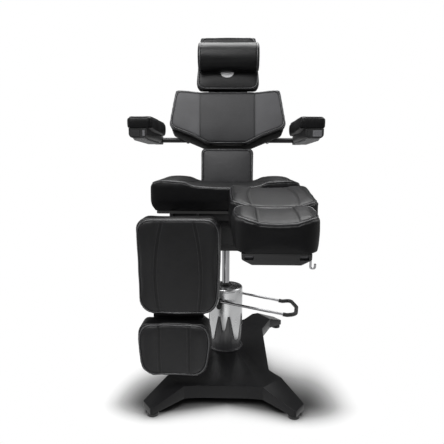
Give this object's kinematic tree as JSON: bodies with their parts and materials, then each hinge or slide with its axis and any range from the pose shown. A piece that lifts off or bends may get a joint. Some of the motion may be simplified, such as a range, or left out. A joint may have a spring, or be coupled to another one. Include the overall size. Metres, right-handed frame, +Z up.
{
  "type": "tattoo chair",
  "caption": "Padded tattoo chair on a hydraulic column: reclining back, headrest with neck roll, armrests, split leg rests with sliding foot rests, foot pump lever.",
  "frame": {"origin": "on the floor, under the middle of the chair's bounding box; the column stands 165 mm behind it", "axes": "+Z up, +Y towards the back of the chair, +X to the sitter's left, the side of the pump lever"},
  "size_m": [0.814, 1.283, 1.5843],
  "materials": {
    "base_body": "satin black",
    "levelling_feet": "matt",
    "foot_studs": "zinc plated",
    "column_barrel": "satin black",
    "barrel_bolts": "zinc plated",
    "pump_cylinder": "ground",
    "pump_housing": "satin silver",
    "pump_cover": "satin silver",
    "column_collar": "black",
    "piston": "polished",
    "swivel_bearing": "machined",
    "lever_shaft": "black",
    "lever_rod_front": "polished",
    "lever_rod_rear": "polished",
    "lever_grip": "matt black",
    "swivel_housing": "satin black",
    "access_panel": "black",
    "seat_frame": "black",
    "seat_board": "black covered plywood",
    "seat_cushion": "smooth black",
    "leg_hinge_pins": "ground",
    "recline_pins": "ground",
    "leg_casing_left": "black",
    "leg_cushion_left": "smooth black",
    "foot_casing_left": "black",
    "foot_rails_left": "dark",
    "foot_cushion_left": "smooth black",
    "release_lever_left": "polished",
    "leg_casing_right": "black",
    "leg_cushion_right": "smooth black",
    "foot_casing_right": "black",
    "foot_rails_right": "dark",
    "foot_cushion_right": "smooth black",
    "release_lever_right": "polished",
    "back_frame": "satin black",
    "lumbar_cushion": "smooth black",
    "lumbar_board": "black covered plywood",
    "back_cushion": "smooth black",
    "back_board": "black covered plywood",
    "arm_bar": "satin black",
    "arm_bar_bolts": "zinc plated",
    "arm_pad_left": "smooth black",
    "arm_body_left": "black",
    "arm_cap_left": "ribbed",
    "arm_button_left": "plain",
    "arm_plate_left": "grey",
    "arm_pad_right": "smooth black",
    "arm_body_right": "black",
    "arm_cap_right": "ribbed",
    "arm_button_right": "plain",
    "arm_plate_right": "grey",
    "head_mast": "satin black",
    "head_hinge_pin": "ground",
    "head_bracket": "black",
    "head_board": "black covered plywood",
    "head_cushion": "smooth black",
    "head_bolster": "smooth black",
    "head_badge": "pale, blank"
  },
  "bodies": {
    "stand": {"base_body": "base_body", "levelling_feet": "levelling_feet", "foot_studs": "foot_studs", "column_barrel": "column_barrel", "barrel_bolts": "barrel_bolts", "pump_cylinder": "pump_cylinder", "pump_housing": "pump_housing", "pump_cover": "pump_cover", "column_collar": "column_collar"},
    "pump_lever": {"lever_shaft": "lever_shaft", "lever_rod_front": "lever_rod_front", "lever_rod_rear": "lever_rod_rear", "lever_grip": "lever_grip"},
    "ram": {"piston": "piston", "swivel_bearing": "swivel_bearing"},
    "turret": {"swivel_housing": "swivel_housing", "access_panel": "access_panel", "seat_frame": "seat_frame", "seat_board": "seat_board", "seat_cushion": "seat_cushion", "leg_hinge_pins": "leg_hinge_pins", "recline_pins": "recline_pins"},
    "back": {"back_frame": "back_frame", "lumbar_board": "lumbar_board", "lumbar_cushion": "lumbar_cushion", "back_board": "back_board", "back_cushion": "back_cushion", "arm_bar": "arm_bar", "arm_bar_bolts": "arm_bar_bolts"},
    "head_carrier": {"head_mast": "head_mast", "head_hinge_pin": "head_hinge_pin"},
    "headrest": {"head_bracket": "head_bracket", "head_board": "head_board", "head_cushion": "head_cushion", "head_bolster": "head_bolster", "head_badge": "head_badge"},
    "left_arm": {"arm_pad_left": "arm_pad_left", "arm_body_left": "arm_body_left", "arm_plate_left": "arm_plate_left", "arm_cap_left": "arm_cap_left"},
    "left_button": {"arm_button_left": "arm_button_left"},
    "left_leg": {"leg_casing_left": "leg_casing_left", "leg_cushion_left": "leg_cushion_left"},
    "left_foot": {"foot_rails_left": "foot_rails_left", "foot_casing_left": "foot_casing_left", "foot_cushion_left": "foot_cushion_left"},
    "left_release": {"release_lever_left": "release_lever_left"},
    "right_arm": {"arm_pad_right": "arm_pad_right", "arm_body_right": "arm_body_right", "arm_plate_right": "arm_plate_right", "arm_cap_right": "arm_cap_right"},
    "right_button": {"arm_button_right": "arm_button_right"},
    "right_leg": {"leg_casing_right": "leg_casing_right", "leg_cushion_right": "leg_cushion_right"},
    "right_foot": {"foot_rails_right": "foot_rails_right", "foot_casing_right": "foot_casing_right", "foot_cushion_right": "foot_cushion_right"},
    "right_release": {"release_lever_right": "release_lever_right"}
  },
  "joints": [
    {"name": "lift", "type": "slide", "parent": "stand", "child": "ram", "axis": [0, 0, 1], "range_m": [-0.045, 0.06]},
    {"name": "swivel", "type": "hinge", "parent": "ram", "child": "turret", "pos_m": [0, 0.16518, 0.7], "axis": [0, 0, 1], "range_deg": [-180, 70]},
    {"name": "pump_press", "type": "hinge", "parent": "stand", "child": "pump_lever", "pos_m": [-0.028, 0.16518, 0.304], "axis": [0, 1, 0], "range_deg": [0, 20], "stiffness_Nm_per_rad": 14, "springref_deg": -22.92},
    {"name": "back_recline", "type": "hinge", "parent": "turret", "child": "back", "pos_m": [0, 0.42718, 0.775], "axis": [-1, 0, 0], "range_deg": [-4, 75]},
    {"name": "head_slide", "type": "slide", "parent": "back", "child": "head_carrier", "axis": [0, 0.2079, 0.9781], "range_m": [0, 0.08]},
    {"name": "head_tilt", "type": "hinge", "parent": "head_carrier", "child": "headrest", "pos_m": [0, 0.57037, 1.33181], "axis": [-1, 0, 0], "range_deg": [-3, 50]},
    {"name": "left_arm_tilt", "type": "hinge", "parent": "back", "child": "left_arm", "pos_m": [-0.362, 0.5126, 1.06193], "axis": [-1, 0, 0], "range_deg": [-15, 78]},
    {"name": "left_button_press", "type": "slide", "parent": "left_arm", "child": "left_button", "axis": [0, 1, 0], "range_m": [0, 0.003], "stiffness_N_per_m": 600, "springref_m": -0.002},
    {"name": "right_arm_tilt", "type": "hinge", "parent": "back", "child": "right_arm", "pos_m": [0.362, 0.5126, 1.06193], "axis": [-1, 0, 0], "range_deg": [-15, 78]},
    {"name": "right_button_press", "type": "slide", "parent": "right_arm", "child": "right_button", "axis": [0, 1, 0], "range_m": [0, 0.003], "stiffness_N_per_m": 600, "springref_m": -0.002},
    {"name": "left_leg_tilt", "type": "hinge", "parent": "turret", "child": "left_leg", "pos_m": [-0.171, -0.09382, 0.695], "axis": [-1, 0, 0], "range_deg": [0, 84.2]},
    {"name": "left_foot_slide", "type": "slide", "parent": "left_leg", "child": "left_foot", "axis": [0, 0, -1], "range_m": [-0.024, 0.04]},
    {"name": "left_release_turn", "type": "hinge", "parent": "left_leg", "child": "left_release", "pos_m": [-0.296, -0.14732, 0.433], "axis": [1, 0, 0], "range_deg": [0, 14], "stiffness_Nm_per_rad": 0.8, "springref_deg": -28.65},
    {"name": "right_leg_tilt", "type": "hinge", "parent": "turret", "child": "right_leg", "pos_m": [0.171, -0.09382, 0.695], "axis": [-1, 0, 0], "range_deg": [-84.2, 0]},
    {"name": "right_foot_slide", "type": "slide", "parent": "right_leg", "child": "right_foot", "axis": [0, -0.9949, -0.1011], "range_m": [0, 0.1]},
    {"name": "right_release_turn", "type": "hinge", "parent": "right_leg", "child": "right_release", "pos_m": [0.296, -0.35989, 0.72175], "axis": [1, 0, 0], "range_deg": [0, 14], "stiffness_Nm_per_rad": 0.8, "springref_deg": -28.65}
  ]
}
